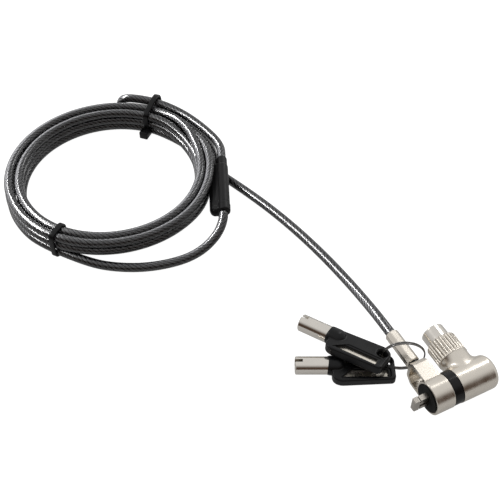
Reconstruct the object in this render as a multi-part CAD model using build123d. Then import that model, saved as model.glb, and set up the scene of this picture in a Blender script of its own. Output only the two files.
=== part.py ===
from build123d import *
import os
from math import atan2, cos, degrees, hypot, pi, radians, sin, sqrt, tan

# Laptop cable lock: a lock head with a T-bar tip, a tubular key lock at right angles to it,
# a swivelling collar, and a coiled steel cable that ends in a crimped eye loop.
# Millimetres. Origin: centre of the rubber washer's front face. +X runs back along the barrel,
# +Y towards the keyhole, +Z up. The lock lies flat, so the table is at FLOOR.

# ---- driving dimensions --------------------------------------------------------------------
BARREL_R = 7.5
FLOOR = -BARREL_R
COLLAR_X = (0.5, 9.3)
BAND_X = (9.5, 13.7)
HOUSING_X = (13.7, 31.8)
SLEEVE_R = 5.0
SLEEVE_END = 15.6
FLANGE_R = 6.3
WASHER_T = 1.2
RUN_GAP = 0.06

KEY_AXIS_X = 21.4
NECK_R = 6.7
NECK_BLEND = 2.5
GRIP_Y = (14.2, 20.9)
GRIP_R = 6.6
FLUTES = 28
SHELL_R = 5.35
SHELL_Y = (6.0, 27.4)
SHELL_BORE = 4.15
PLUG_Y = (17.0, 19.5)
BLOCK_Y = (8.0, 16.95)
POST_R = 2.75
PINS = 7
PIN_CIRCLE = 3.35
PIN_R = 0.5

TIP_X = (-6.9, -4.3)
TIP_SIZE = (2.6, 6.3)
GUIDE_X = (-3.9, 2.9)
GUIDE_Z = (1.35, 3.1)
NECK_ROD = 1.1
JOURNAL_R = 1.6

GEAR_TEETH = 12
GEAR_OUT = 5.09
GEAR_IN = 3.0
CAVITY_R = 5.6

LUG_AXIS_X = 5.0
LUG_WALL = (14.5, 16.0)
RIVET_R = 1.3
FERRULE_Y = (17.3, 34.5)
FERRULE_FLATS = 5.9

CABLE_D = 4.5
COIL_AT = (-68.2, 182.3)
COIL_R = (43.2, 52.8)
COIL_Z = (-6.5, 7.0)
TIE_W = 2.6
TIE_T = 1.0

LOOP_START = (-28.6, 132.2, 2.15)
LOOP_WAY = (0.3985, 0.9172)
LOOP_LEN = 37.5
BARREL_R2 = 2.95
BARREL_STEP = (-4.2, -2.0)

RING_AT = (2.15, 21.3, 2.2)
RING_R = 9.1
RING_WIRE = 0.6
RING_TURN = -26.75

KEY_TUBE = (3.9, 2.85)
KEY_TUBE_LEN = 13.5
KEY_HEAD_T = 4.2
KEY_HOLE = (-25.4, -0.9)
KEY_BOSS = (4.5, 3.9)

os.makedirs("parts", exist_ok=True)


def write(name, shape):
    """Writes one node."""
    export_step(shape, f"parts/{name}.step")


def rod_x(r, x0, x1, y=0.0, z=0.0):
    """Round bar along X."""
    return Pos((x0 + x1) / 2, y, z) * Rot(0, 90, 0) * Cylinder(r, x1 - x0)


def rod_y(r, y0, y1, x=0.0, z=0.0):
    """Round bar along Y."""
    return Pos(x, (y0 + y1) / 2, z) * Rot(90, 0, 0) * Cylinder(r, y1 - y0)


def block(x, y, z):
    """Box between pairs of coordinates."""
    size = [b - a for a, b in (x, y, z)]
    return Pos((x[0] + x[1]) / 2, (y[0] + y[1]) / 2, (z[0] + z[1]) / 2) * Box(*size)


# ---- collar and front end -------------------------------------------------------------------
def swivel_collar():
    """Ring that turns on the sleeve, with the hollow lug that holds the cable's rivet."""
    x0, x1 = COLLAR_X
    ring = rod_x(BARREL_R, x0, x1)
    ring = fillet(ring.edges().filter_by(GeomType.CIRCLE), 0.35)
    outline = [(2.0, 5.8), (13.8, 5.8), (16.0, 3.6), (16.0, -4.2), (12.8, -7.0), (2.0, -7.2)]
    hollow = [(2.0, 4.3), (13.2, 4.3), (14.5, 3.0), (14.5, -3.6), (12.2, -5.6), (2.0, -5.8)]
    plane = Plane(origin=(x0 + 0.9, 0, 0), x_dir=(0, 1, 0), z_dir=(1, 0, 0))
    outer = make_face(Polyline(outline, close=True))
    outer = fillet(outer.vertices().sort_by(Axis.X)[2:], 1.6)
    inner = make_face(Polyline(hollow, close=True))
    inner = fillet(inner.vertices().sort_by(Axis.X)[2:], 0.8)
    wide = x1 - x0 - 1.2
    lug = extrude(plane * outer, wide) - extrude(plane * inner, wide)
    taper = make_face(Polyline([(x1 + 1, 4), (x1 + 1, 17), (8.0, 17), (x1 - 0.3, 7)], close=True))
    lug -= extrude(taper, 8, both=True)
    ring += lug
    ring -= rod_x(SLEEVE_R + RUN_GAP, x0 - 1, x1 + 1)
    ring -= rod_x(FLANGE_R + 0.25, x0 - 1, WASHER_T + 1.1)
    ring -= rod_y(RIVET_R + RUN_GAP, 12.0, 17.0, LUG_AXIS_X)
    return ring


def barrel_sleeve():
    """Inner barrel: flange under the washer, journal for the collar, spigot in the housing."""
    body = rod_x(FLANGE_R, WASHER_T, WASHER_T + 1.0)
    body += rod_x(SLEEVE_R, WASHER_T + 1.0, SLEEVE_END)
    body -= rod_x(JOURNAL_R + 0.05, -1, SLEEVE_END + 1)
    for bar in guide_bars():
        body -= bar
    return body


def face_washer():
    """Rubber washer with a slot for the guides and the T-bar's neck."""
    disc = rod_x(FLANGE_R - 0.1, 0, WASHER_T)
    return disc - block((-1, 2), (-1.5, 1.5), (-GUIDE_Z[1] - 0.2, GUIDE_Z[1] + 0.2))


def guide_bars():
    """Two flat bars that fill the security slot above and below the T-bar's neck."""
    low, high = GUIDE_Z
    top = block(GUIDE_X, (-1.3, 1.3), (low, high))
    bottom = block(GUIDE_X, (-1.3, 1.3), (-high, -low))
    return [top, bottom]


def spacer_band():
    """Black band between the collar and the housing."""
    band = rod_x(BARREL_R - 0.2, *BAND_X)
    band = fillet(band.edges().filter_by(GeomType.CIRCLE), 0.3)
    return band - rod_x(SLEEVE_R, BAND_X[0] - 1, BAND_X[1] + 1)


def t_bar():
    """Spindle with the cross bar that turns behind the slot's plate."""
    width, tall = TIP_SIZE
    tip = block(TIP_X, (-width / 2, width / 2), (-tall / 2, tall / 2))
    tip = chamfer(tip.faces().sort_by(Axis.X)[0].edges(), 0.4)
    rod = rod_x(NECK_ROD, TIP_X[1] - 0.5, 3.0)
    rod += rod_x(JOURNAL_R, 3.0, SLEEVE_END)
    rod += rod_x(1.2, SLEEVE_END, KEY_AXIS_X - 2.4)
    return tip + rod


def clip_x(x0, x1):
    """Retaining washer on the spindle."""
    return rod_x(2.6, x0, x1) - rod_x(1.2, x0 - 1, x1 + 1)


# ---- mitre gears -----------------------------------------------------------------------------
def gear_point(dist, cone, turn):
    """Point at a distance from the apex, on a cone about +Z, turned about +Z; degrees."""
    c, t = radians(cone), radians(turn)
    return (dist * sin(c) * cos(t), dist * sin(c) * sin(t), dist * cos(c))


def gear_tooth(turn):
    """One straight tooth whose flanks all run to the apex."""
    ends = []
    for dist in (GEAR_IN, GEAR_OUT):
        corners = [(36.5, -7.6), (36.5, 7.6), (50.0, 3.3), (50.0, -3.3)]
        ring = [gear_point(dist, cone, turn + half) for cone, half in corners]
        ends.append(make_face(Polyline(ring, close=True)))
    return loft(ends, ruled=True)


def mitre_gear(first_tooth):
    """Gear on +Z with its apex at the origin and a hub behind the teeth."""
    inner, outer = gear_point(GEAR_IN, 38, 0), gear_point(GEAR_OUT, 38, 0)
    hub = 4.9
    half = [(1.2, inner[2]), (inner[0], inner[2]), (outer[0], outer[2]), (2.6, hub), (1.2, hub)]
    profile = make_face(Polyline([(r, 0, z) for r, z in half], close=True))
    gear = revolve(profile, Axis.Z)
    for i in range(GEAR_TEETH):
        gear += gear_tooth(first_tooth + i * 360 / GEAR_TEETH)
    return gear


def spindle_gear():
    """Gear on the T-bar's spindle, facing +X, with a tooth towards +Y."""
    return Pos(KEY_AXIS_X, 0, 0) * Rot(0, -90, 0) * mitre_gear(90)


def plug_gear():
    """Gear on the key plug's tail, facing -Y, with a gap towards -X."""
    return Pos(KEY_AXIS_X, 0, 0) * Rot(-90, 0, 0) * mitre_gear(180 / GEAR_TEETH)


# ---- rear housing and key lock ---------------------------------------------------------------
def rear_housing():
    """Die-cast body: barrel end, neck at right angles and fluted grip, hollow inside."""
    x0, x1 = HOUSING_X
    body = rod_x(BARREL_R, x0, x1)
    body = fillet(body.edges().filter_by(GeomType.CIRCLE).sort_by(Axis.X)[-1], 2.6)
    body += rod_y(NECK_R, 0, GRIP_Y[0], KEY_AXIS_X)
    joint = [e for e in body.edges() if e.geom_type == GeomType.BSPLINE]
    body = fillet(joint, NECK_BLEND)
    grip = rod_y(GRIP_R, GRIP_Y[0], GRIP_Y[1], KEY_AXIS_X)
    grip = fillet(grip.edges().filter_by(GeomType.CIRCLE).sort_by(Axis.Y)[-1], 0.5)
    for i in range(FLUTES):
        a = radians(i * 360 / FLUTES)
        x, z = KEY_AXIS_X + GRIP_R * cos(a), GRIP_R * sin(a)
        grip -= rod_y(0.32, GRIP_Y[0] + 0.4, GRIP_Y[1] + 1, x, z)
    body += grip
    body -= rod_x(SLEEVE_R, x0 - 1, SLEEVE_END)
    body -= rod_x(CAVITY_R, SLEEVE_END, x1 - 3.0)
    body -= rod_y(SHELL_R, 0, GRIP_Y[1] + 1, KEY_AXIS_X)
    return body - cylinder_pin()


def cylinder_shell():
    """Turned tube that holds the tubular lock; its end ring stands out of the grip."""
    y0, y1 = SHELL_Y
    tube = rod_y(SHELL_R, y0, y1, KEY_AXIS_X)
    tube = fillet(tube.edges().filter_by(GeomType.CIRCLE).sort_by(Axis.Y)[-1], 0.5)
    tube -= rod_y(SHELL_BORE, y0 - 1, y1 + 1, KEY_AXIS_X)
    return tube - cylinder_pin()


def pin_places():
    """Centres of the pins' circle, with a gap at the bottom for the cross pin."""
    step = 360 / PINS
    angles = [radians(-90 + step / 2 + i * step) for i in range(PINS)]
    return [(KEY_AXIS_X + PIN_CIRCLE * cos(a), PIN_CIRCLE * sin(a)) for a in angles]


def round_row(r, y0, y1):
    """Seven equal round bars on the pins' circle."""
    return [rod_y(r, y0, y1, x, z) for x, z in pin_places()]


def lock_plug():
    """Turning plug: centre post, flange bored for the key pins, tail through the pin block."""
    y0, y1 = PLUG_Y
    plug = rod_y(SHELL_BORE - 0.05, y0, y1, KEY_AXIS_X)
    plug += rod_y(POST_R, y1, SHELL_Y[1] - 0.3, KEY_AXIS_X)
    plug += rod_y(1.5, BLOCK_Y[0] - 0.7, y0, KEY_AXIS_X)
    plug += rod_y(1.2, 2.4, BLOCK_Y[0] - 0.7, KEY_AXIS_X)
    for hole in round_row(PIN_R, y0 - 1, y1 + 1):
        plug -= hole
    nib = block((KEY_AXIS_X - 0.45, KEY_AXIS_X + 0.45), (24.6, 26.6), (POST_R - 0.2, POST_R + 0.5))
    return plug + nib


def driver_block():
    """Fixed block behind the plug, bored for the driver pins and their springs."""
    y0, y1 = BLOCK_Y
    ring = rod_y(SHELL_BORE, y0, y1, KEY_AXIS_X) - rod_y(1.55, y0 - 1, y1 + 1, KEY_AXIS_X)
    for hole in round_row(PIN_R, y0 + 1.0, y1 + 1):
        ring -= hole
    return ring - cylinder_pin()


def pin_springs():
    """Seven small compression springs behind the driver pins."""
    low, high = BLOCK_Y[0] + 1.1, 13.8
    wire = 0.14
    path = Helix(pitch=0.75, height=high - low - 2 * wire, radius=0.34)
    start = Plane(origin=path @ 0, z_dir=path % 0)
    coil = sweep(start * Circle(wire), path=path, is_frenet=True)
    spring = Rot(-90, 0, 0) * coil
    return [Pos(x, low + wire, z) * spring for x, z in pin_places()]


def cylinder_pin():
    """Cross pin that keeps the lock cylinder in the housing's neck."""
    return Pos(KEY_AXIS_X, 12.0, -4.6) * Cylinder(0.6, 4.0)


# ---- cable end: rivet, washer, ferrule -------------------------------------------------------
def swivel_rivet():
    """Headed rivet that turns in the lug's end wall and is held in the ferrule."""
    y0 = LUG_WALL[0]
    head = rod_y(2.2, y0 - 1.5, y0 - 0.1, LUG_AXIS_X)
    return head + rod_y(RIVET_R, y0 - 0.1, FERRULE_Y[0] + 4.0, LUG_AXIS_X)


def swivel_washer():
    """Black nylon washer between the lug and the ferrule."""
    y0, y1 = LUG_WALL[1] + 0.1, FERRULE_Y[0]
    return rod_y(2.7, y0, y1, LUG_AXIS_X) - rod_y(RIVET_R, y0 - 1, y1 + 1, LUG_AXIS_X)


def cable_ferrule():
    """Eight-sided swaged ferrule on the end of the cable."""
    y0, y1 = FERRULE_Y
    section = RegularPolygon(FERRULE_FLATS / 2, 8, major_radius=False)
    bar = Pos(LUG_AXIS_X, y0, 0) * Rot(-90, 0, 0) * extrude(Rot(0, 0, 22.5) * section, y1 - y0)
    bar = fillet(bar.edges().filter_by(Axis.Y), 0.25)
    cone = rod_y(3.12, y0, y1, LUG_AXIS_X)
    cone = chamfer(cone.edges().filter_by(GeomType.CIRCLE), 0.5)
    return (bar & cone) - rod_y(RIVET_R, y0 - 1, y0 + 4.0, LUG_AXIS_X)


# ---- cable -----------------------------------------------------------------------------------
def coil_point(angle, radius, z):
    """Point about the coil's centre, in degrees and millimetres."""
    a = radians(angle)
    return (COIL_AT[0] + radius * cos(a), COIL_AT[1] + radius * sin(a), z)


def loop_point(along, inner=False):
    """Point on the loop sleeve's outer barrel, or on the inner one beside and below it."""
    ux, uy = LOOP_WAY
    side, drop = BARREL_STEP if inner else (0.0, 0.0)
    x, y, z = LOOP_START
    return (x + along * ux + side * uy, y + along * uy - side * ux, z + drop)


FREE_RUN = [
    (5.0, 34.5, 0.0),
    (5.0, 43.5, 0.0),
    (5.9, 56.0, -2.6),
    (6.3, 71.0, -5.2),
    (4.4, 89.0, -5.25),
    (1.2, 108.5, -5.25),
    (-3.4, 128.5, -5.25),
    (-9.6, 148.5, -5.25),
    (-17.0, 167.5, -5.25),
    (-23.4, 183.0, -4.6),
    (-27.6, 195.5, -4.25),
]

TAIL_RUN = [
    (-97.5, 136.8, -4.4),
    (-86.5, 128.3, -5.0),
    (-72.5, 121.6, -5.2),
    (-57.0, 118.6, -5.1),
    (-46.0, 119.8, -4.4),
    (-37.4, 123.2, -2.3),
    (-32.2, 127.2, -0.2),
    loop_point(0.0),
]

EYE_RUN = [
    loop_point(LOOP_LEN),
    (-9.1, 177.3, 2.6),
    coil_point(10, 57.0, 3.7),
    coil_point(26, 56.4, 4.8),
    coil_point(41, 56.4, 5.8),
    coil_point(52, 56.5, 6.2),
    coil_point(60.5, 56.5, 6.2),
    coil_point(61, 61.6, -2.4),
    coil_point(51, 60.8, -2.6),
    coil_point(37, 59.4, -3.0),
    coil_point(21, 57.8, -3.2),
    coil_point(6, 56.8, -3.0),
    (-13.6, 177.2, -1.6),
    loop_point(LOOP_LEN, inner=True),
]


def route_radii(name, points):
    """Arc radius at each corner: 0.45 of the shorter run over the tangent of half the turn."""
    at = [Vector(*p) for p in points]
    radii = []
    for a, b, c in zip(at, at[1:], at[2:]):
        turn = (b - a).get_angle(c - b)
        radii.append(0.45 * min((b - a).length, (c - b).length) / tan(radians(turn / 2)))
    print(name, "radii", [round(r, 1) for r in radii])
    return radii


def cable_tube(name, points):
    """Round cable along straight runs joined by tangent arcs."""
    path = FilletPolyline(*points, radius=route_radii(name, points))
    start = Plane(origin=path @ 0, z_dir=path % 0)
    tube = sweep(start * Circle(CABLE_D / 2), path=path)
    ideal = pi * CABLE_D**2 / 4 * path.length
    print(name, "length", round(path.length, 1), "volume ratio", round(tube.volume / ideal, 4))
    return tube


def cable_coil():
    """Outer shape of the wound turns."""
    (r0, r1), (z0, z1) = COIL_R, COIL_Z
    section = Pos((r0 + r1) / 2, (z0 + z1) / 2) * RectangleRounded(r1 - r0, z1 - z0, 2.2)
    ring = revolve(Plane.XZ * section, Axis.Z)
    ring = Pos(COIL_AT[0], COIL_AT[1], 0) * ring
    return ring - loop_solid(BARREL_R2, 0.0, LOOP_LEN)


def loop_solid(r, start, end):
    """Twin-barrel bar along the loop sleeve's axis."""
    side, drop = BARREL_STEP
    origin = loop_point(start)
    plane = Plane(origin=origin, x_dir=(LOOP_WAY[1], -LOOP_WAY[0], 0), z_dir=(*LOOP_WAY, 0))
    lean = Rot(0, 0, degrees(atan2(-drop, side)))
    middle = Pos(side / 2, -drop / 2)
    section = plane * middle * lean * SlotCenterToCenter(hypot(side, drop), 2 * r)
    return extrude(section, end - start)


def loop_crimp():
    """Aluminium crimp that clamps the loop's two strands."""
    return loop_solid(2.5, 5.0, 32.0)


def loop_sleeve():
    """Black cover moulded over the crimp."""
    cover = loop_solid(BARREL_R2, 0.0, LOOP_LEN)
    return cover - loop_crimp()


# ---- cable ties ------------------------------------------------------------------------------
COIL_WRAP = [
    (COIL_R[0], COIL_Z[0]),
    (COIL_R[1], COIL_Z[0]),
    (COIL_R[1], COIL_Z[1]),
    (COIL_R[0], COIL_Z[1]),
]
LOOP_WRAP = [
    (COIL_R[0], COIL_Z[0]),
    (60.8, COIL_Z[0]),
    (63.4, -4.6),
    (63.4, -1.0),
    (59.6, 7.4),
    (57.6, 8.6),
    (COIL_R[0], COIL_Z[1]),
]


def tie(angle, wrap, head_z):
    """Nylon tie strapped round a bundle outline (radius, height), with its head inside."""
    inner = make_face(Polyline(wrap, close=True))
    inner = offset(inner, 0.1, kind=Kind.ARC)
    band = offset(inner, TIE_T - 0.1, kind=Kind.ARC) - inner
    strap = extrude(Plane.XZ * band, TIE_W / 2, both=True)
    r0 = COIL_R[0]
    head = block((r0 - 5.4, r0 - TIE_T + 0.2), (-2.3, 2.3), (head_z - 2.0, head_z + 2.0))
    head = fillet(head.edges().filter_by(Axis.Y), 0.6)
    return Pos(COIL_AT[0], COIL_AT[1], 0) * Rot(0, 0, angle) * (strap + head)


# ---- key ring and keys -----------------------------------------------------------------------
def key_ring():
    """Split ring hanging round the ferrule."""
    ring = Torus(RING_R, RING_WIRE)
    return Pos(*RING_AT) * Rot(0, 0, RING_TURN) * Rot(90, 0, 0) * ring


def key_place(angle, hole, tilt, roll):
    """Location of a key: +X along its tube, its ring hole at the given point."""
    turn = Pos(*hole) * Rot(0, 0, angle) * Rot(0, tilt, 0) * Rot(roll, 0, 0)
    return turn * Pos(-KEY_HOLE[0], -KEY_HOLE[1], 0)


def key_tube():
    """Tubular key blade with its notch and nib."""
    outer, inner = KEY_TUBE
    tube = rod_x(outer, -3.0, KEY_TUBE_LEN)
    tube = chamfer(tube.edges().filter_by(GeomType.CIRCLE).sort_by(Axis.X)[-1], 0.35)
    tube -= rod_x(inner, 2.0, KEY_TUBE_LEN + 1)
    tube -= block((KEY_TUBE_LEN - 3.2, KEY_TUBE_LEN + 1), (-0.7, 0.7), (0, outer + 1))
    return tube + block((KEY_TUBE_LEN - 2.6, KEY_TUBE_LEN - 1.2), (-outer - 0.5, -inner), (-0.6, 0.6))


def key_plate():
    """Flat nickel plate inside the head, seen through the window."""
    return block((-27.0, -3.0), (2.3, 7.2), (-0.6, 0.6))


def key_head():
    """Moulded head with a boss round the tube, a window and a ring hole."""
    outline = [(-2.0, -4.0), (-2.0, 7.4), (-5.0, 9.4), (-28.9, 8.2), (-28.9, -2.8), (-25.3, -5.3)]
    face = make_face(Polyline(outline, close=True))
    face = fillet(face.vertices(), 1.6)
    slab = extrude(face, KEY_HEAD_T / 2, both=True)
    boss_r, boss_z = KEY_BOSS
    boss = rod_x(boss_r, -6.0, 0.8) & Box(20, 20, 2 * boss_z)
    window = block((-25.5, -7.0), (3.6, 6.6), (-5, 5))
    flare = Pos(0, 0, KEY_HEAD_T / 4) * Cone(1.7, 3.35, KEY_HEAD_T / 2)
    hole = flare + mirror(flare, Plane.XY)
    head = slab + boss - window - Pos(*KEY_HOLE, 0) * hole
    return head - rod_x(KEY_TUBE[0], -3.0, 5.0) - key_plate()


# ---- write every node ------------------------------------------------------------------------
write("swivel_collar", swivel_collar())
write("barrel_sleeve", barrel_sleeve())
write("face_washer", face_washer())
write("slot_guides", Compound(guide_bars()))
write("spacer_band", spacer_band())
write("t_bar", t_bar())
write("spindle_clip", clip_x(SLEEVE_END + 0.15, SLEEVE_END + 0.75))
write("spindle_gear", spindle_gear())
write("rear_housing", rear_housing())
write("cylinder_shell", cylinder_shell())
write("lock_plug", lock_plug())
write("key_pins", Compound(round_row(PIN_R, PLUG_Y[0], PLUG_Y[1] + 0.8)))
write("driver_block", driver_block())
write("driver_pins", Compound(round_row(PIN_R, 13.9, BLOCK_Y[1])))
write("pin_springs", Compound(pin_springs()))
write("cylinder_pin", cylinder_pin())
plug_clip = rod_y(2.7, 6.7, 7.25, KEY_AXIS_X) - rod_y(1.2, 6.0, 8.0, KEY_AXIS_X)
write("plug_clip", plug_clip)
write("plug_gear", plug_gear())
write("swivel_rivet", swivel_rivet())
write("swivel_washer", swivel_washer())
write("cable_ferrule", cable_ferrule())
write("cable_run", cable_tube("cable_run", FREE_RUN))
write("cable_tail", cable_tube("cable_tail", TAIL_RUN))
write("cable_eye", cable_tube("cable_eye", EYE_RUN))
write("cable_coil", cable_coil())
write("loop_crimp", loop_crimp())
write("loop_sleeve", loop_sleeve())
write("cable_tie_top", tie(43.5, LOOP_WRAP, -3.5))
write("cable_tie_side", tie(218, COIL_WRAP, -3.5))
write("key_ring", key_ring())

across = (cos(radians(RING_TURN)), sin(radians(RING_TURN)))
KEYS = {"key_a": (121.0, 2.0, 3.5, 12.0, 0.0, -0.4), "key_b": (153.3, -3.6, 0.0, 0.0, 0.3, -0.15)}
for name, (angle, height, tilt, roll, play_x, play_y) in KEYS.items():
    reach = sqrt(RING_R**2 - (height - RING_AT[2]) ** 2)
    hole_x = RING_AT[0] - reach * across[0] + play_x
    hole_y = RING_AT[1] - reach * across[1] + play_y
    hole = (hole_x, hole_y, height)
    place = key_place(angle, hole, tilt, roll)
    print(name, "hole", [round(v, 2) for v in hole])
    write(f"{name}_tube", place * key_tube())
    write(f"{name}_plate", place * key_plate())
    write(f"{name}_head", place * key_head())
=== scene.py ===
from math import cos, pi, radians, sin

import bmesh
import bpy
from mathutils import Matrix, Vector


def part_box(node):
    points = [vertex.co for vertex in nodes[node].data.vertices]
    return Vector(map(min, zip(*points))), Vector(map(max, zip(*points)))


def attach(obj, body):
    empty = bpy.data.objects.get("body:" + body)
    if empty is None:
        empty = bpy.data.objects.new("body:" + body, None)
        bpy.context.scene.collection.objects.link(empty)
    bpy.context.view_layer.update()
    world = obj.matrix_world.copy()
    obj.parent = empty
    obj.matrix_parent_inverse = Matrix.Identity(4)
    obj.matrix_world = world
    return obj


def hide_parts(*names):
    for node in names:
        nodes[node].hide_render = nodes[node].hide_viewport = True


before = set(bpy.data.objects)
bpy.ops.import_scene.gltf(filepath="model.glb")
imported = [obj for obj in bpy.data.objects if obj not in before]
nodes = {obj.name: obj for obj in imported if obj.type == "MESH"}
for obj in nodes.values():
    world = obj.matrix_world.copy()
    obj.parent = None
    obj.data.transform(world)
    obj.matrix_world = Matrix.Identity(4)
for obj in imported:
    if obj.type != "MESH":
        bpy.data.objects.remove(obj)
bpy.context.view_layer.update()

# ---- Camera, table and light ----------------------------------------------------------------
# The lock lies on a lit white table in a white room, with a small softbox at the left and a tall
# narrow one at the back right. The room is dark brown low down on the camera's side. The cable
# has one more light to itself, set beside it in its own section.
VIEW_RIGHT = Vector((0.893, -0.450, 0.0))
VIEW_AWAY = Vector((0.450, 0.893, 0.0))
TABLE_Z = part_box("swivel_collar")[0].z
CENTRE = Vector((-0.030, 0.110, 0.0))
LENS = 64.29
CAMERA_AT = (-0.1549, -0.1483, 0.3145)
CAMERA_TURN = (radians(42.0), 0.0, radians(-26.75))
TABLE_HALF = 12
TABLE_GAP = 0.0001
TABLE_GREY = (0.30, 0.30, 0.30, 1)
TABLE_ROUGHNESS = 0.9
TABLE_GLOW_SEEN = 0.98
TABLE_GLOW_MIRRORED = 0.28
ROOM_LOW = (0.10, 0.065, 0.045, 1.0)
ROOM_STRENGTH = 0.75
ROOM_NEAR_SIDE = (-0.2, 0.5)
ROOM_LOW_DOWN = (0.95, 0.40)
# Name, place in the studio, width, height and watts.
SOFTBOXES = (
    ("left_strip", (-0.62, 0.30, 0.62), 0.24, 0.16, 1.2),
    ("back_right", (0.42, 0.62, 0.60), 0.09, 0.5, 1.0),
)

lens = bpy.data.cameras.new("camera")
lens.lens = LENS
lens.sensor_width = 36.0
lens.clip_start = 0.01
camera = bpy.data.objects.new("camera", lens)
camera.location = CAMERA_AT
camera.rotation_euler = CAMERA_TURN
bpy.context.scene.collection.objects.link(camera)
bpy.context.scene.camera = camera
bpy.context.scene.view_settings.view_transform = "Standard"


def studio_point(right, away, up):
    """Place in the studio: metres to the right of, behind and above the middle of the coil."""
    return CENTRE + VIEW_RIGHT * right + VIEW_AWAY * away + Vector((0, 0, up))


def softbox(name, place, width, height, watts):
    """Soft light of a size in metres, turned towards the middle of the coil."""
    light = bpy.data.lights.new(name, "AREA")
    light.shape = "RECTANGLE"
    light.size = width
    light.size_y = height
    light.energy = watts
    lamp = bpy.data.objects.new(name, light)
    lamp.location = place
    lamp.rotation_euler = (CENTRE - place).to_track_quat("-Z", "Y").to_euler()
    bpy.context.scene.collection.objects.link(lamp)
    return lamp


for lamp_name, lamp_place, *lamp_make in SOFTBOXES:
    softbox(lamp_name, studio_point(*lamp_place), *lamp_make)


def add_node(tree, kind, **settings):
    """Shader node with some of its properties set."""
    node = tree.nodes.new(kind)
    for key, value in settings.items():
        setattr(node, key, value)
    return node


def light_room():
    """White room that darkens to warm brown low down on the camera's side."""
    world = bpy.data.worlds.new("studio")
    world.use_nodes = True
    bpy.context.scene.world = world
    tree = world.node_tree
    background = tree.nodes["Background"]
    place = add_node(tree, "ShaderNodeTexCoord")
    near = add_node(tree, "ShaderNodeVectorMath", operation="DOT_PRODUCT")
    near.inputs[1].default_value = -VIEW_AWAY
    tree.links.new(place.outputs["Generated"], near.inputs[0])
    near_part = add_node(tree, "ShaderNodeMapRange", interpolation_type="SMOOTHSTEP")
    near_part.inputs["From Min"].default_value = ROOM_NEAR_SIDE[0]
    near_part.inputs["From Max"].default_value = ROOM_NEAR_SIDE[1]
    tree.links.new(near.outputs["Value"], near_part.inputs["Value"])
    axes = add_node(tree, "ShaderNodeSeparateXYZ")
    tree.links.new(place.outputs["Generated"], axes.inputs[0])
    low_part = add_node(tree, "ShaderNodeMapRange", interpolation_type="SMOOTHSTEP")
    low_part.inputs["From Min"].default_value = ROOM_LOW_DOWN[0]
    low_part.inputs["From Max"].default_value = ROOM_LOW_DOWN[1]
    tree.links.new(axes.outputs["Z"], low_part.inputs["Value"])
    dark_part = add_node(tree, "ShaderNodeMath", operation="MULTIPLY")
    tree.links.new(near_part.outputs["Result"], dark_part.inputs[0])
    tree.links.new(low_part.outputs["Result"], dark_part.inputs[1])
    shade = add_node(tree, "ShaderNodeMix", data_type="RGBA")
    shade.inputs["A"].default_value = (1.0, 1.0, 1.0, 1.0)
    shade.inputs["B"].default_value = ROOM_LOW
    tree.links.new(dark_part.outputs[0], shade.inputs["Factor"])
    tree.links.new(shade.outputs["Result"], background.inputs["Color"])
    background.inputs["Strength"].default_value = ROOM_STRENGTH


light_room()


def lay_table():
    """White table top that glows, and glows less in what mirrors it."""
    mesh = bmesh.new()
    flat = Matrix.Translation((CENTRE.x, CENTRE.y, TABLE_Z - TABLE_GAP))
    bmesh.ops.create_grid(mesh, x_segments=1, y_segments=1, size=TABLE_HALF, matrix=flat)
    data = bpy.data.meshes.new("table_top")
    mesh.to_mesh(data)
    mesh.free()
    table = bpy.data.objects.new("table_top", data)
    bpy.context.scene.collection.objects.link(table)
    paint = bpy.data.materials.new("table_white")
    paint.use_nodes = True
    coat = paint.node_tree.nodes["Principled BSDF"]
    coat.inputs["Base Color"].default_value = TABLE_GREY
    coat.inputs["Roughness"].default_value = TABLE_ROUGHNESS
    coat.inputs["Emission Color"].default_value = (1, 1, 1, 1)
    tree = paint.node_tree
    sight = add_node(tree, "ShaderNodeLightPath")
    glow = add_node(tree, "ShaderNodeMapRange")
    glow.inputs["To Min"].default_value = TABLE_GLOW_MIRRORED
    glow.inputs["To Max"].default_value = TABLE_GLOW_SEEN
    tree.links.new(sight.outputs["Is Camera Ray"], glow.inputs["Value"])
    tree.links.new(glow.outputs["Result"], coat.inputs["Emission Strength"])
    data.materials.append(paint)


lay_table()

# ---- Cable ----------------------------------------------------------------------------------
# Steel wire rope of six strands laid round a core, in a smoky clear vinyl coat, 4.5 mm thick.
# One length runs from the ferrule into the coil, round it, through the crimp, out to the eye
# and back into the crimp.
MM = 0.001
CABLE_D = 4.5
COIL_AT = (-68.2, 182.3)
STEPS = 24
LOOP_START = (-28.6, 132.2, 2.15)
LOOP_WAY = (0.3985, 0.9172)
LOOP_LEN = 37.5
BARREL_STEP = (-4.2, -2.0)


def coil_point(angle, radius, z):
    """Point about the coil's centre, in degrees and millimetres."""
    a = radians(angle)
    return (COIL_AT[0] + radius * cos(a), COIL_AT[1] + radius * sin(a), z)


def loop_point(along, inner=False):
    """Point on the loop sleeve's outer barrel, or on the inner one beside and below it."""
    ux, uy = LOOP_WAY
    side, drop = BARREL_STEP if inner else (0.0, 0.0)
    x, y, z = LOOP_START
    return (x + along * ux + side * uy, y + along * uy - side * ux, z + drop)


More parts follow.
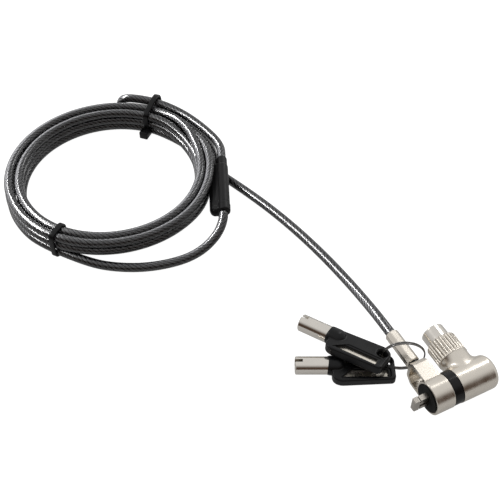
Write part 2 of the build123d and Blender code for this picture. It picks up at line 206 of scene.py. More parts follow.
FREE_RUN = [
    (5.0, 34.5, 0.0),
    (5.0, 43.5, 0.0),
    (5.9, 56.0, -2.6),
    (6.3, 71.0, -5.2),
    (4.4, 89.0, -5.25),
    (1.2, 108.5, -5.25),
    (-3.4, 128.5, -5.25),
    (-9.6, 148.5, -5.25),
    coil_point(-16, 53.6, -5.25),
    coil_point(-7, 50.0, -5.25),
    coil_point(4, 48.4, -5.1),
    coil_point(16, 47.0, -4.8),
    coil_point(28, 46.0, -4.4),
]
TAIL_RUN = [
    (-97.5, 136.8, -4.4),
    (-86.5, 128.3, -5.0),
    (-72.5, 121.6, -5.2),
    (-57.0, 118.6, -5.1),
    (-46.0, 119.8, -4.4),
    (-37.4, 123.2, -2.3),
    (-32.2, 127.2, -0.2),
    loop_point(0.0),
]
EYE_RUN = [
    loop_point(LOOP_LEN),
    (-9.1, 177.3, 2.6),
    coil_point(10, 57.0, 3.7),
    coil_point(26, 56.4, 4.8),
    coil_point(41, 56.4, 5.8),
    coil_point(52, 56.5, 6.1),
    coil_point(60.9, 56.7, 6.1),
    coil_point(63.8, 57.0, 3.3),
    coil_point(63.8, 57.4, -0.7),
    coil_point(60.9, 57.7, -3.5),
    coil_point(51, 57.8, -3.5),
    coil_point(37, 57.5, -3.4),
    coil_point(21, 57.8, -3.2),
    coil_point(6, 56.8, -3.0),
    (-13.6, 177.2, -1.6),
    loop_point(LOOP_LEN, inner=True),
    loop_point(2.0, inner=True),
]
# A turn's place in the bundle, radius and height, and where the sleeve presses it near PINCH_AT.
TURNS = [(45.4, -4.25), (45.2, 0.2), (45.6, 4.7), (50.6, 4.8), (50.5, 0.3), (50.6, -4.25)]
PRESSED = [(44.3, -4.2), (44.5, 0.2), (45.0, 4.7), (49.8, 4.8), (48.8, -3.5), (50.6, -4.25)]
PINCH_AT = -34.0
PINCH_WIDTH = 34.0
STEP_UP = (-8.0, 36.0)
COIL_START = 42.0
COIL_END = 215.0
CLIMB = 1.5
# How the turns wander in and out: millimetres, waves in a turn, and degrees at the start.
WANDER = ((0.35, 0.73, 40), (0.2, 2.1, 0))


def smooth(t):
    """Ease from 0 to 1."""
    t = min(1.0, max(0.0, t))
    return t * t * (3 - 2 * t)


def turn_place(angle):
    """Radius and height of the coil at an angle counted on through all the turns."""
    turn = int((angle - STEP_UP[0]) // 360)
    within = angle - 360 * turn
    rise = smooth((within - STEP_UP[0]) / (STEP_UP[1] - STEP_UP[0]))
    off = (angle - PINCH_AT + 180) % 360 - 180
    press = cos(pi / 2 * off / PINCH_WIDTH) ** 2 if abs(off) < PINCH_WIDTH else 0.0
    spots = []
    for k in (max(turn - 1, 0), turn):
        spots.append([a + (b - a) * press for a, b in zip(TURNS[k], PRESSED[k])])
    radius, z = (a + (b - a) * rise for a, b in zip(*spots))
    if turn == 3:
        z += CLIMB * 4 * rise * (1 - rise)
    slack = sum(size * sin(radians(angle * rate + start)) for size, rate, start in WANDER)
    return radius + slack, z


def coil_turns():
    """Points of the wound turns, one every 360 / STEPS degrees."""
    step = 360 / STEPS
    swell = 1 / cos(radians(step / 2))
    points = []
    angle = COIL_START
    while angle <= (len(TURNS) - 1) * 360 + COIL_END:
        radius, z = turn_place(angle)
        points.append(coil_point(angle, radius * swell, z))
        angle += step
    return points


def cable_line(name):
    """Smooth curve along the cable's whole route."""
    route = FREE_RUN + coil_turns() + TAIL_RUN + EYE_RUN
    curve = bpy.data.curves.new(name, "CURVE")
    curve.dimensions = "3D"
    curve.resolution_u = 6
    spline = curve.splines.new("NURBS")
    spline.points.add(len(route) - 1)
    for knot, point in zip(spline.points, route):
        knot.co = (point[0] * MM, point[1] * MM, point[2] * MM, 1.0)
    spline.order_u = 3
    spline.use_endpoint_u = True
    piece = bpy.data.objects.new(name, curve)
    bpy.context.scene.collection.objects.link(piece)
    return piece


def line_points(piece):
    """The points that a curve with no bevel passes through."""
    bpy.context.view_layer.update()
    mesh = bpy.data.meshes.new_from_object(piece)
    points = [v.co.copy() for v in mesh.vertices]
    bpy.data.meshes.remove(mesh)
    return points


def even_points(points, spacing):
    """Points at an even spacing along a line."""
    even = [points[0]]
    left = spacing
    for a, b in zip(points, points[1:]):
        run = (b - a).length
        while run > 1e-9 and left <= run:
            a = a + (b - a) * (left / run)
            even.append(a)
            run = (b - a).length
            left = spacing
        left -= run
    return even


def line_frames(points):
    """Direction, side and up at each point, turned as little as possible from one to the next."""
    frames = []
    side = Vector((1, 0, 0))
    for i in range(len(points)):
        along = (points[min(i + 1, len(points) - 1)] - points[max(i - 1, 0)]).normalized()
        side = (side - along * side.dot(along)).normalized()
        frames.append((along, side, along.cross(side)))
    return frames


LAY = 15.5 * MM
STRANDS = 6
STRAND_R = 0.69 * MM
STRAND_AT = 1.39 * MM
CORE_SIZE = 1.25
ROPE_SPACING = 1.25 * MM


def rope_strands(points):
    """Six strands laid round a core painted near black as the shade between them, as round bars;
    their UV runs along and round them.
    """
    curve = bpy.data.curves.new("cable_strands", "CURVE")
    curve.dimensions = "3D"
    curve.bevel_depth = STRAND_R
    curve.bevel_resolution = 1
    curve.use_fill_caps = True
    frames = line_frames(points)
    for s in range(STRANDS + 1):
        core = s == STRANDS
        spline = curve.splines.new("POLY")
        spline.points.add(len(points) - 1)
        for i, (along, side, up) in enumerate(frames):
            turn = 2 * pi * (s / STRANDS + i * ROPE_SPACING / LAY)
            reach = 0.0 if core else STRAND_AT
            place = points[i] + (side * cos(turn) + up * sin(turn)) * reach
            spline.points[i].co = (*place, 1.0)
            spline.points[i].radius = CORE_SIZE if core else 1.0
        spline.material_index = 1 if core else 0
    piece = bpy.data.objects.new("cable_strands", curve)
    bpy.context.scene.collection.objects.link(piece)
    return piece


def plain_material(name, colour, metallic, roughness):
    """Principled material and its node tree and shader."""
    finish = bpy.data.materials.new(name)
    finish.use_nodes = True
    shader = finish.node_tree.nodes["Principled BSDF"]
    shader.inputs["Base Color"].default_value = (*colour, 1)
    shader.inputs["Metallic"].default_value = metallic
    shader.inputs["Roughness"].default_value = roughness
    return finish, finish.node_tree, shader


def ramp(tree, source, low, high):
    """Colour between two tones, led by a value from 0 to 1."""
    tone = add_node(tree, "ShaderNodeValToRGB")
    tone.color_ramp.elements[0].color = (*low, 1)
    tone.color_ramp.elements[1].color = (*high, 1)
    tree.links.new(source, tone.inputs["Fac"])
    return tone.outputs["Color"]


def relief(tree, shader, source, strength, depth):
    """Bump led by a value from 0 to 1, with its depth in millimetres."""
    bump = add_node(tree, "ShaderNodeBump")
    bump.inputs["Strength"].default_value = strength
    bump.inputs["Distance"].default_value = depth * MM
    tree.links.new(source, bump.inputs["Height"])
    tree.links.new(bump.outputs["Normal"], shader.inputs["Normal"])


WIRES_SEEN = 7
WIRE_TURNS = 330
ROPE_STEEL = ((0.3, 0.3, 0.31), 0.6, 0.6)
# The rope's real core, its near-black colour painted shade for the gaps between strands.
ROPE_CORE_SHADE = ((0.006, 0.006, 0.006), 0.0, 0.8)
WIRE_DARK = (0.22, 0.22, 0.226)
WIRE_BRIGHT = (0.30, 0.30, 0.308)
# Near-black colour of the painted shade in the grooves between strands.
GROOVE_SHADE = (0.004, 0.004, 0.004, 1)
GROOVE_REACH = 1.0 * MM
GROOVE_RANGE = (0.74, 0.97)
COAT_TINT = (0.78, 0.78, 0.79, 1)
COAT_ROUGHNESS = 0.2
COAT_IOR = 1.6
# Place in the studio, width, height and watts of the softbox that lights only the cable.
CABLE_SHINE = ((-0.60, 0.24, 0.62), 0.85, 0.22, 17.0)


def wire_steel():
    """Dull galvanised wires laid round each strand, with painted shade in the grooves between the
    strands.
    """
    finish, tree, shader = plain_material("rope_steel", *ROPE_STEEL)
    place = add_node(tree, "ShaderNodeTexCoord")
    lay = add_node(tree, "ShaderNodeVectorMath", operation="DOT_PRODUCT")
    lay.inputs[1].default_value = (2 * pi * WIRE_TURNS, 2 * pi * WIRES_SEEN, 0)
    tree.links.new(place.outputs["UV"], lay.inputs[0])
    wave = add_node(tree, "ShaderNodeMath", operation="SINE")
    tree.links.new(lay.outputs["Value"], wave.inputs[0])
    share = add_node(tree, "ShaderNodeMapRange")
    share.inputs["From Min"].default_value = -1.0
    tree.links.new(wave.outputs[0], share.inputs["Value"])
    colour = ramp(tree, share.outputs["Result"], WIRE_DARK, WIRE_BRIGHT)
    # Painted shade: ambient occlusion darkens the wires towards black in the grooves between
    # strands.
    groove = add_node(tree, "ShaderNodeAmbientOcclusion", samples=8, only_local=True)
    groove.inputs["Distance"].default_value = GROOVE_REACH
    tree.links.new(colour, groove.inputs["Color"])
    depth = add_node(tree, "ShaderNodeMapRange")
    depth.inputs["From Min"].default_value = GROOVE_RANGE[0]
    depth.inputs["From Max"].default_value = GROOVE_RANGE[1]
    tree.links.new(groove.outputs["AO"], depth.inputs["Value"])
    shadowed = add_node(tree, "ShaderNodeMix", data_type="RGBA")
    shadowed.inputs["A"].default_value = GROOVE_SHADE
    tree.links.new(depth.outputs["Result"], shadowed.inputs["Factor"])
    tree.links.new(colour, shadowed.inputs["B"])
    tree.links.new(shadowed.outputs["Result"], shader.inputs["Base Color"])
    return finish


def clear_coat():
    """Smoky clear vinyl: lets most light through and shines on top."""
    finish = bpy.data.materials.new("smoky_vinyl")
    finish.use_nodes = True
    tree = finish.node_tree
    tree.nodes.remove(tree.nodes["Principled BSDF"])
    through = add_node(tree, "ShaderNodeBsdfTransparent")
    through.inputs["Color"].default_value = COAT_TINT
    gloss = add_node(tree, "ShaderNodeBsdfGlossy")
    gloss.inputs["Roughness"].default_value = COAT_ROUGHNESS
    gloss.inputs["Color"].default_value = (1, 1, 1, 1)
    edge = add_node(tree, "ShaderNodeFresnel")
    edge.inputs["IOR"].default_value = COAT_IOR
    blend = add_node(tree, "ShaderNodeMixShader")
    tree.links.new(edge.outputs["Fac"], blend.inputs["Fac"])
    tree.links.new(through.outputs["BSDF"], blend.inputs[1])
    tree.links.new(gloss.outputs["BSDF"], blend.inputs[2])
    tree.links.new(blend.outputs["Shader"], tree.nodes["Material Output"].inputs["Surface"])
    return finish


cable = cable_line("cable_sheath")
cable_points = line_points(cable)
cable.data.bevel_depth = CABLE_D / 2 * MM
cable.data.bevel_resolution = 5
cable.data.use_fill_caps = True
cable.data.materials.append(clear_coat())
strands = rope_strands(even_points(cable_points, ROPE_SPACING))
strands.data.materials.append(wire_steel())
strands.data.materials.append(plain_material("rope_core_shade", *ROPE_CORE_SHADE)[0])
shine_place, *shine_make = CABLE_SHINE
shine = softbox("cable_shine", studio_point(*shine_place), *shine_make)
shine.light_linking.receiver_collection = bpy.data.collections.new("shiny_cable")
for piece in (cable, strands):
    shine.light_linking.receiver_collection.objects.link(piece)
    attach(piece, "cable")
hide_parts("cable_run", "cable_coil", "cable_tail", "cable_eye")

# ---- Loop sleeve ----------------------------------------------------------------------------
# Black plastic moulded over the aluminium crimp: a long barrel that the tail enters, with a
# wider collar below and a neck above, and a second barrel under it for the cable's end.


def to_object(name, mesh):
    """Object in the scene made from a bmesh."""
    data = bpy.data.meshes.new(name)
    mesh.to_mesh(data)
    mesh.free()
    piece = bpy.data.objects.new(name, data)
    bpy.context.scene.collection.objects.link(piece)
    return piece


def bake_modifiers(piece):
    """Applies a piece's modifiers to its mesh."""
    bpy.context.view_layer.update()
    graph = bpy.context.evaluated_depsgraph_get()
    data = bpy.data.meshes.new_from_object(piece.evaluated_get(graph))
    piece.modifiers.clear()
    piece.data = data


def combine(piece, tool, operation):
    """Joins a tool shape to a piece, or cuts it out, and removes the tool."""
    step = piece.modifiers.new("combine", "BOOLEAN")
    step.operation = operation
    step.solver = "EXACT"
    step.object = tool
    bake_modifiers(piece)
    bpy.data.objects.remove(tool)


def finish_piece(piece, body, finish, angle=35.0):
    """Gives a finished piece its body, material and smooth faces between sharp edges."""
    piece.data.materials.clear()
    piece.data.materials.append(finish)
    piece.data.shade_smooth()
    piece.data.set_sharp_from_angle(angle=radians(angle))
    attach(piece, body)


def turned_bar(profile, steps=40):
    """Bmesh of a bar turned about +X from (distance, radius) pairs, in millimetres."""
    mesh = bmesh.new()
    line = [mesh.verts.new((x * MM, 0, r * MM)) for x, r in profile]
    edges = [mesh.edges.new(pair) for pair in zip(line, line[1:])]
    bmesh.ops.spin(
        mesh,
        geom=line + edges,
        cent=(0, 0, 0),
        axis=(1, 0, 0),
        angle=2 * pi,
        steps=steps,
        use_merge=True,
    )
    bmesh.ops.remove_doubles(mesh, verts=mesh.verts, dist=0.002 * MM)
    bmesh.ops.recalc_face_normals(mesh, faces=mesh.faces)
    if mesh.calc_volume(signed=True) < 0:
        bmesh.ops.reverse_faces(mesh, faces=mesh.faces)
    return mesh


def melt(piece, grain, rounds):
    """Melts a piece's parts into one skin, with every edge a little rounded."""
    skin = piece.modifiers.new("skin", "REMESH")
    skin.mode = "VOXEL"
    skin.voxel_size = grain * MM
    soft = piece.modifiers.new("soft", "SMOOTH")
    soft.iterations = rounds
    bake_modifiers(piece)


OUTER_BARREL = [
    (0.0, 0.0),
    (0.0, 2.5),
    (0.5, 3.1),
    (4.6, 3.2),
    (5.2, 2.85),
    (6.0, 3.0),
    (31.8, 3.0),
    (32.6, 2.9),
    (33.0, 2.6),
    (33.5, 2.72),
    (38.0, 2.68),
    (38.7, 2.3),
    (38.7, 0.0),
]
INNER_BARREL = [
    (0.2, 0.0),
    (0.6, 1.4),
    (1.6, 2.4),
    (3.2, 2.85),
    (33.0, 2.85),
    (35.6, 2.5),
    (36.0, 0.0),
]
WEB = (1.2, 33.0, 2.72)
SLEEVE_SKIN = (0.22, 5)


def cloud_noise(tree, scale, detail):
    """Value from 0 to 1 of a noise fixed to the piece."""
    place = add_node(tree, "ShaderNodeTexCoord")
    noise = add_node(tree, "ShaderNodeTexNoise")
    noise.inputs["Scale"].default_value = scale
    noise.inputs["Detail"].default_value = detail
    tree.links.new(place.outputs["Object"], noise.inputs["Vector"])
    return noise.outputs["Fac"]


def uneven_gloss(tree, shader, cloud, low, high):
    """Roughness that wanders between two values, led by a cloud."""
    rough = add_node(tree, "ShaderNodeMapRange")
    rough.inputs["From Min"].default_value = 0.3
    rough.inputs["From Max"].default_value = 0.7
    rough.inputs["To Min"].default_value = low
    rough.inputs["To Max"].default_value = high
    tree.links.new(cloud, rough.inputs["Value"])
    tree.links.new(rough.outputs["Result"], shader.inputs["Roughness"])


BLACK_PLASTIC = (0.004, 0.004, 0.0045)
PLASTIC_SHINE = 0.24
PLASTIC_CLOUD = (160.0, 4.0)
PLASTIC_GRAIN = (2.0, 0.5)
PLASTIC_WEAR = 1.7


def grained_plastic(name, tone, low, high, grain, depth):
    """Black moulded plastic: roughness wanders a little over a fine grain."""
    finish, tree, shader = plain_material(name, tone, 0.0, high)
    shader.inputs["Specular IOR Level"].default_value = PLASTIC_SHINE
    cloud = cloud_noise(tree, *PLASTIC_CLOUD)
    uneven_gloss(tree, shader, cloud, low, high)
    worn = tuple(c * PLASTIC_WEAR for c in tone)
    tree.links.new(ramp(tree, cloud, tone, worn), shader.inputs["Base Color"])
    detail, strength = PLASTIC_GRAIN
    relief(tree, shader, cloud_noise(tree, grain, detail), strength, depth)
    return finish


def loop_sleeve():
    """Both barrels and the web between them, melted into one moulding."""
    along = Vector((*LOOP_WAY, 0.0))
    side, drop = BARREL_STEP
    step = Vector((side * along.y, -side * along.x, drop))
    across = step.normalized()
    square = along.cross(across)
    turn = Matrix((along, across, square)).transposed().to_4x4()
    upper = Matrix.Translation(Vector(LOOP_START) * MM) @ turn
    lower = Matrix.Translation((Vector(LOOP_START) + step) * MM) @ turn
    mesh = turned_bar(OUTER_BARREL)
    mesh.transform(upper)
    cover = to_object("sleeve_cover", mesh)
    mesh = turned_bar(INNER_BARREL)
    mesh.transform(lower)
    combine(cover, to_object("inner_barrel", mesh), "UNION")
    mesh = bmesh.new()
    start, end, half = WEB
    span = step.length
    shape = Matrix.Diagonal(((end - start) * MM, span * MM, 2 * half * MM, 1))
    middle = Matrix.Translation(((start + end) / 2 * MM, span / 2 * MM, 0))
    bmesh.ops.create_cube(mesh, size=1.0, matrix=upper @ middle @ shape)
    combine(cover, to_object("web", mesh), "UNION")
    melt(cover, *SLEEVE_SKIN)
    return cover


black_sleeve = grained_plastic("sleeve_black", BLACK_PLASTIC, 0.34, 0.46, 3500, 0.02)
sleeve = loop_sleeve()
finish_piece(sleeve, "cable", black_sleeve)
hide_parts("loop_sleeve")

# ---- Cable ties -----------------------------------------------------------------------------
# Black nylon ties, 2.6 mm wide, pulled tight round the bundle. Each ends in a square head on
# the inside of the coil, with the strap's cut end standing out of it.
COIL_INNER_R = 43.2
COIL_MIDDLE_R = 48
TIE_W = 2.6
TIE_T = 0.9
TIE_EDGE = 0.22
TIE_CORNER = 2.0
# Name, two corners from the seat of the head, edge rounding, and how it joins the strap.
TIE_PARTS = (
    ("head", (-5.2, -2.3, -2.1), (-0.3, 2.3, 2.1), 0.55, "UNION"),
    ("cut_end", (-3.9, -1.15, -2.9), (-2.9, 1.15, 1.0), 0.15, "UNION"),
    ("slot", (-3.9, -1.35, 1.4), (-1.9, 1.35, 3.0), 0.15, "DIFFERENCE"),
)
SIDE_WRAP = [(COIL_INNER_R, -6.5), (52.8, -6.5), (52.8, 7.0), (COIL_INNER_R, 7.0)]
TOP_WRAP = [
    (COIL_INNER_R, -6.5),
    (58.6, -6.5),
    (60.6, -4.6),
    (60.6, 4.0),
    (59.8, 7.6),
    (57.6, 9.2),
    (54.0, 9.0),
    (COIL_INNER_R, 7.0),
]


def tied_at(angle):
    """Frame at an angle of the coil: X outwards, Y along the cable, Z up."""
    centre = Matrix.Translation((COIL_AT[0] * MM, COIL_AT[1] * MM, 0))
    return centre @ Matrix.Rotation(radians(angle), 4, "Z")


def rounded_block(name, low, high, place, edge):
    """Block between two corners, in millimetres, with rounded edges."""
    mesh = bmesh.new()
    size = [(b - a) * MM for a, b in zip(low, high)]
    middle = [(a + b) / 2 * MM for a, b in zip(low, high)]
    shape = place @ Matrix.Translation(middle) @ Matrix.Diagonal((*size, 1))
    bmesh.ops.create_cube(mesh, size=1.0, matrix=shape)
    block = to_object(name, mesh)
    soften(block, edge)
    return block


def soften(piece, edge, segments=3):
    """Rounds a piece's edges by a radius in millimetres."""
    rounding = piece.modifiers.new("rounding", "BEVEL")
    rounding.width = edge * MM
    rounding.segments = segments
    rounding.limit_method = "ANGLE"
    rounding.angle_limit = radians(40)
    rounding.use_clamp_overlap = False
    bake_modifiers(piece)


def cable_tie(name, angle, wrap, head_z):
    """Strap round an outline (radius, height), its head and its cut end."""
    place = tied_at(angle)
    mesh = bmesh.new()
    half = TIE_W / 2
    corners = [mesh.verts.new((r * MM, -half * MM, z * MM)) for r, z in wrap]
    mesh.faces.new(corners)
    bmesh.ops.bevel(
        mesh,
        geom=mesh.verts[:],
        offset=TIE_CORNER * MM,
        segments=5,
        profile=0.5,
        affect="VERTICES",
        material=-1,
        clamp_overlap=True,
    )
    bmesh.ops.delete(mesh, geom=mesh.faces[:], context="FACES_ONLY")
    strip = bmesh.ops.extrude_edge_only(mesh, edges=mesh.edges[:])
    fresh = [v for v in strip["geom"] if isinstance(v, bmesh.types.BMVert)]
    bmesh.ops.translate(mesh, verts=fresh, vec=(0, TIE_W * MM, 0))
    bmesh.ops.recalc_face_normals(mesh, faces=mesh.faces)
    centre = Vector((COIL_MIDDLE_R * MM, 0, 0))
    face = max(mesh.faces, key=lambda f: f.calc_center_median().x)
    if face.normal.dot(face.calc_center_median() - centre) < 0:
        bmesh.ops.reverse_faces(mesh, faces=mesh.faces)
    bmesh.ops.transform(mesh, matrix=place, verts=mesh.verts)
    tie = to_object(name, mesh)
    wall = tie.modifiers.new("wall", "SOLIDIFY")
    wall.thickness = TIE_T * MM
    wall.offset = 1.0
    bake_modifiers(tie)
    soften(tie, TIE_EDGE)
    seat = (COIL_INNER_R, 0.0, head_z)
    for part, low, high, edge, operation in TIE_PARTS:
        corners = [[a + b for a, b in zip(seat, corner)] for corner in (low, high)]
        combine(tie, rounded_block(part, *corners, place, edge), operation)
    return tie


tie_nylon = grained_plastic("tie_nylon", BLACK_PLASTIC, 0.20, 0.32, 2600, 0.02)
for name, angle, wrap, head_z in (
    ("cable_tie_top", 43.5, TOP_WRAP, -3.5),
    ("cable_tie_side", 218.0, SIDE_WRAP, -3.5),
):
    tie = cable_tie(name.replace("cable_tie", "tie"), angle, wrap, head_z)
    finish_piece(tie, "cable", tie_nylon)
    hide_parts(name)

# ---- Ferrule and swivel ---------------------------------------------------------------------
# Nickel-plated ferrule swaged on the cable in eight flats. A steel rivet holds it to the lug
# and turns there, with a black nylon washer between them.
METAL_CLOUD = (220.0, 5.0)
METAL_GRAIN = (3.0, 0.12)
METAL_DULL = 0.90


def plated_metal(name, tone, low, high, grain, depth):
    """Plated or ground metal: a little uneven in tone and gloss, with a fine grain."""
    finish, tree, shader = plain_material(name, tone, 1.0, low)
    cloud = cloud_noise(tree, *METAL_CLOUD)
    uneven_gloss(tree, shader, cloud, low, high)
    dull = tuple(c * METAL_DULL for c in tone)
    tree.links.new(ramp(tree, cloud, dull, tone), shader.inputs["Base Color"])
    detail, strength = METAL_GRAIN
    relief(tree, shader, cloud_noise(tree, grain, detail), strength, depth)
    return finish


def dress(finish, *names):
    """Gives CAD nodes a material."""
    for name in names:
        for place in nodes[name].material_slots:
            place.material = finish


satin_nickel = plated_metal("satin_nickel", (0.80, 0.745, 0.665), 0.20, 0.32, 1500, 0.014)
ground_steel = plated_metal("ground_steel", (0.46, 0.43, 0.39), 0.22, 0.34, 3200, 0.006)
dress(satin_nickel, "cable_ferrule")
dress(ground_steel, "swivel_rivet")
dress(tie_nylon, "swivel_washer")
crimp_alloy = plated_metal("crimp_alloy", (0.80, 0.80, 0.81), 0.34, 0.46, 1800, 0.02)
dress(crimp_alloy, "loop_crimp")

# ---- Swivel collar and front end ------------------------------------------------------------
# Die-cast zinc collar, satin nickel plated, with its hollow lug. It turns on the steel barrel
# sleeve, whose flange holds the rubber face washer and the two guide bars beside the T-bar.
washer_rubber = grained_plastic("washer_rubber", (0.006, 0.006, 0.006), 0.62, 0.85, 2200, 0.04)
dress(satin_nickel, "swivel_collar", "barrel_sleeve")
dress(washer_rubber, "face_washer")
dress(ground_steel, "slot_guides", "t_bar", "spindle_gear", "spindle_clip")

# ---- Spacer band ----------------------------------------------------------------------------
# Black moulded ring between the collar and the housing, half gloss.
band_plastic = grained_plastic("band_plastic", (0.006, 0.0055, 0.006), 0.20, 0.30, 3000, 0.01)
dress(band_plastic, "spacer_band")

# ---- Rear housing ---------------------------------------------------------------------------
# Die-cast zinc body with its fluted grip, satin nickel plated over fine casting grain.
FLUTES = 28
FLUTE_R = 0.5
FLUTE_AT = 7.05
GRIP_BLANK_R = (5.47, 6.94)
GRIP_BLANK_Y = (11.0, 20.88)
GRIP_EDGE = 0.4
FLUTE_Y = (11.6, 22.0)
GRIP_AXIS_X = sum(corner.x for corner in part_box("cylinder_shell")) / 2


def cad_copy(name, node):
    """Loose copy of a CAD node's mesh, merged so that its faces join."""
    mesh = bmesh.new()
    mesh.from_mesh(nodes[node].data)
    mesh.transform(nodes[node].matrix_world)
    bmesh.ops.remove_doubles(mesh, verts=mesh.verts, dist=0.001 * MM)
    return to_object(name, mesh)


def flute_cutters():
    """Round-ended rods that stand round the grip."""
    low, high = FLUTE_Y
    arc = [pi / 2 * i / 4 for i in range(5)]
    nose = [(low + FLUTE_R * (1 - cos(t)), FLUTE_R * sin(t)) for t in arc]
    rods = bmesh.new()
    for i in range(FLUTES):
        rod = turned_bar(nose + [(high, FLUTE_R), (high, 0.0)], steps=16)
        rod.transform(Matrix.Rotation(pi / 2, 4, "Z"))
        turn = Matrix.Rotation(2 * pi * i / FLUTES, 4, "Y")
        rod.transform(turn @ Matrix.Translation((FLUTE_AT * MM, 0, 0)))
        rod.transform(Matrix.Translation((GRIP_AXIS_X, 0, 0)))
        part = bpy.data.meshes.new("flute")
        rod.to_mesh(part)
        rod.free()
        rods.from_mesh(part)
        bpy.data.meshes.remove(part)
    return to_object("flutes", rods)


def grip_blank():
    """Plain sleeve over the grip, for the flutes to be cut in."""
    inner, outer = GRIP_BLANK_R
    low, high = GRIP_BLANK_Y
    edge = GRIP_EDGE
    loop = [
        (low, inner),
        (low, outer - edge),
        (low + edge, outer),
        (high - edge, outer),
        (high, outer - edge),
        (high, inner),
        (low, inner),
    ]
    mesh = turned_bar(loop, steps=112)
    mesh.transform(Matrix.Translation((GRIP_AXIS_X, 0, 0)) @ Matrix.Rotation(pi / 2, 4, "Z"))
    return to_object("grip_blank", mesh)


grip = grip_blank()
combine(grip, flute_cutters(), "DIFFERENCE")
housing = cad_copy("fluted_housing", "rear_housing")
combine(housing, grip, "UNION")
finish_piece(housing, "head", satin_nickel, angle=30.0)
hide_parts("rear_housing")
dress(satin_nickel, "cylinder_pin")

# ---- Key cylinder ---------------------------------------------------------------------------
# Turned brass shell and plug, bright nickel plated, round a brass pin block with steel pins and
# springs. The plug's gear drives the T-bar's through the mitre pair.
bright_nickel = plated_metal("bright_nickel", (0.80, 0.76, 0.70), 0.10, 0.18, 3600, 0.004)
block_brass = plated_metal("block_brass", (0.72, 0.52, 0.24), 0.25, 0.38, 2400, 0.008)
dress(bright_nickel, "cylinder_shell", "lock_plug")
dress(block_brass, "driver_block")
dress(ground_steel, "key_pins", "driver_pins", "pin_springs", "plug_gear", "plug_clip")

# ---- Key ring -------------------------------------------------------------------------------
# Split ring of hard steel wire wound nearly twice round, its two turns lying side by side.
RING_AT = (2.15, 21.3, 2.2)
RING_R = 9.1
RING_TURN = -26.75
RING_WIRE = 0.34
RING_STEP = 0.40
RING_SWEEP = (20.0, 700.0)
RING_PASS_AT = 330
RING_PASS = 60
RING_POINTS = 150


def split_ring():
    """Round wire wound along the ring, stepping sideways where one turn passes the other."""
    curve = bpy.data.curves.new("split_ring", "CURVE")
    curve.dimensions = "3D"
    curve.bevel_depth = RING_WIRE * MM
    curve.bevel_resolution = 3
    curve.use_fill_caps = True
    spline = curve.splines.new("POLY")
    spline.points.add(RING_POINTS - 1)
    place = Matrix.Translation(Vector(RING_AT) * MM) @ Matrix.Rotation(radians(RING_TURN), 4, "Z")
    start, end = RING_SWEEP
    for i in range(RING_POINTS):
        angle = start + (end - start) * i / (RING_POINTS - 1)
        a = radians(angle)
        side = RING_STEP * (2 * smooth((angle - RING_PASS_AT) / RING_PASS) - 1)
        at = place @ Vector((RING_R * cos(a) * MM, side * MM, RING_R * sin(a) * MM))
        spline.points[i].co = (*at, 1.0)
    ring = bpy.data.objects.new("split_ring", curve)
    bpy.context.scene.collection.objects.link(ring)
    return ring


ring_steel = plated_metal("ring_steel", (0.27, 0.265, 0.26), 0.14, 0.24, 3000, 0.004)
ring = split_ring()
ring.data.materials.append(ring_steel)
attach(ring, "ring")
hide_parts("key_ring")

# ---- Keys -----------------------------------------------------------------------------------
# Tubular keys: a bright nickel tube with a notch, on a blank nickel plate that black plastic is
# moulded over. The head has a domed boss round the tube, a long window that shows the plate, a
# sunk border round the window and a flared ring hole.
KEY_HEAD_T = 4.2
KEY_HOLE = (-25.4, -0.9)
HEAD_CORNER = 1.7
HEAD_EDGE = 0.7
HEAD_SKIN = (0.16, 4)
BOSS_START = -8.8
BOSS_R = 4.4
BOSS_END = [(-1.6, 4.38), (-0.8, 4.25), (-0.2, 4.0), (0.05, 3.6), (0.05, 0.0)]
BOSS_FLATTEN = 0.93
HEAD_OUTLINE = [(-2.0, -4.0), (-2.0, 7.4), (-5.0, 9.4), (-28.9, 8.2), (-28.9, -2.8), (-25.3, -5.3)]
WINDOW = [(-10.4, 3.5), (-6.6, 6.7), (-25.6, 6.7), (-25.6, 3.5)]
SUNK = [(-11.0, 2.6), (-5.2, 7.7), (-26.9, 7.4), (-26.9, 2.6)]
SUNK_DEPTH = 0.45
THROUGH = 4
FLARE = [(0.0, 1.7), (1.5, 2.3), (2.2, 3.0), (2.2, 0.0)]
# Each key's ring hole in millimetres, and its turn, tilt and roll in degrees.
KEYS = {
    "key_a": ((-5.97, 24.99, 2.0), 121.0, 3.5, 12.0),
    "key_b": ((-3.81, 24.31, -3.6), 153.3, 0.0, 0.0),
}


def key_place(hole, angle, tilt, roll):
    """Frame of a key: X along its tube, its ring hole at the given point."""
    turn = Matrix.Rotation(radians(angle), 4, "Z") @ Matrix.Rotation(radians(tilt), 4, "Y")
    turn = turn @ Matrix.Rotation(radians(roll), 4, "X")
    back = Matrix.Translation((-KEY_HOLE[0] * MM, -KEY_HOLE[1] * MM, 0))
    return Matrix.Translation(Vector(hole) * MM) @ turn @ back


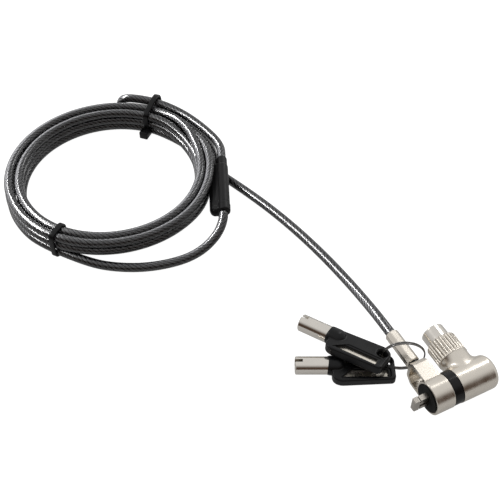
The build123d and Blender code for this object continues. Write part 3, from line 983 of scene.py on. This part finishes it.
def slab(name, outline, z0, z1, corner, segments=6):
    """Flat plate with rounded corners, between two heights, in millimetres."""
    mesh = bmesh.new()
    mesh.faces.new([mesh.verts.new((x * MM, y * MM, z0 * MM)) for x, y in outline])
    bmesh.ops.bevel(
        mesh,
        geom=mesh.verts[:],
        offset=corner * MM,
        segments=segments,
        profile=0.5,
        affect="VERTICES",
        material=-1,
        clamp_overlap=True,
    )
    grown = bmesh.ops.extrude_face_region(mesh, geom=mesh.faces[:])
    fresh = [v for v in grown["geom"] if isinstance(v, bmesh.types.BMVert)]
    bmesh.ops.translate(mesh, verts=fresh, vec=(0, 0, (z1 - z0) * MM))
    bmesh.ops.recalc_face_normals(mesh, faces=mesh.faces)
    return to_object(name, mesh)


def key_boss():
    """Domed boss round the tube, flattened a little above and below."""
    turns = [pi / 2 * i / 8 for i in range(9)]
    dome = [(BOSS_START + BOSS_R * (1 - cos(t)), BOSS_R * sin(t)) for t in turns]
    mesh = turned_bar(dome + BOSS_END, steps=48)
    bmesh.ops.scale(mesh, vec=(1, 1, BOSS_FLATTEN), verts=mesh.verts)
    return to_object("boss", mesh)


def key_head(name):
    """Moulded head, built at the key's own frame."""
    half = KEY_HEAD_T / 2
    head = slab(name, HEAD_OUTLINE, -half, half, HEAD_CORNER)
    soften(head, HEAD_EDGE, 4)
    combine(head, key_boss(), "UNION")
    for side in (-1, 1):
        low, high = sorted((side * (half - SUNK_DEPTH), side * (half + 1)))
        combine(head, slab("sunk", SUNK, low, high, 1.0), "DIFFERENCE")
    combine(head, slab("window", WINDOW, -THROUGH, THROUGH, 0.5, 3), "DIFFERENCE")
    flare = turned_bar([(-x, r) for x, r in reversed(FLARE[1:])] + FLARE)
    bmesh.ops.rotate(flare, matrix=Matrix.Rotation(pi / 2, 3, "Y"), verts=flare.verts)
    bmesh.ops.translate(flare, vec=(KEY_HOLE[0] * MM, KEY_HOLE[1] * MM, 0), verts=flare.verts)
    combine(head, to_object("flare", flare), "DIFFERENCE")
    melt(head, *HEAD_SKIN)
    return head


head_plastic = grained_plastic("key_black", BLACK_PLASTIC, 0.22, 0.36, 2800, 0.015)
plate_nickel = plated_metal("plate_nickel", (0.80, 0.75, 0.66), 0.22, 0.34, 2400, 0.01)
for key, spot in KEYS.items():
    head = key_head(f"{key}_grip")
    head.data.transform(key_place(*spot))
    finish_piece(head, key, head_plastic, angle=30.0)
    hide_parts(f"{key}_head")
    dress(bright_nickel, f"{key}_tube")
    dress(plate_nickel, f"{key}_plate")
